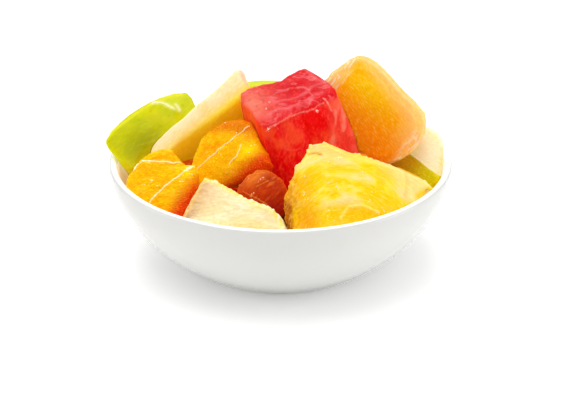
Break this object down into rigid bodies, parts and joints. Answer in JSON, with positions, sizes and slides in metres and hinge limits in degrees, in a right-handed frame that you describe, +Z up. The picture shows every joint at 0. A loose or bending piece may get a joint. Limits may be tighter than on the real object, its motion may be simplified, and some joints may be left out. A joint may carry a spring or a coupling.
{
  "type": "fruit salad",
  "caption": "Small round white porcelain bowl heaped with hand-cut pieces of watermelon, melon, pineapple, orange and apple, all at rest in the bowl.",
  "frame": {"origin": "middle of the bowl's foot, on the table", "axes": "+Z up, -Y towards the eater, +X to the eater's right"},
  "size_m": [0.1409, 0.14, 0.0829],
  "materials": {
    "porcelain": "white glaze, glossy",
    "watermelon": "wet red flesh, glossy",
    "cantaloupe": "soft orange flesh, satin",
    "pineapple": "wet fibrous yellow flesh",
    "orange": "juice cells under a thin membrane, wet",
    "apple_flesh": "pale crisp flesh, satin",
    "pale_melon": "pale melon flesh, satin",
    "apple_skin": "waxy green skin, glossy",
    "mixed_fruit": "wet cut fruit, mixed"
  },
  "bodies": {
    "root": {"bowl": "porcelain", "watermelon_cube": "watermelon", "watermelon_back": "watermelon", "cantaloupe_block": "cantaloupe", "cantaloupe_back": "cantaloupe", "pineapple_wedge": "pineapple", "pineapple_back": "pineapple", "orange_middle": "orange", "orange_left": "orange", "orange_segment": "orange", "orange_back": "orange", "pale_apple_front": "apple_flesh", "pale_apple_back": "apple_flesh", "apple_right": "apple_flesh", "pale_melon_slice": "pale_melon", "green_apple_left": "apple_skin", "green_apple_back": "apple_skin", "lower_fruit": "mixed_fruit"}
  },
  "joints": []
}
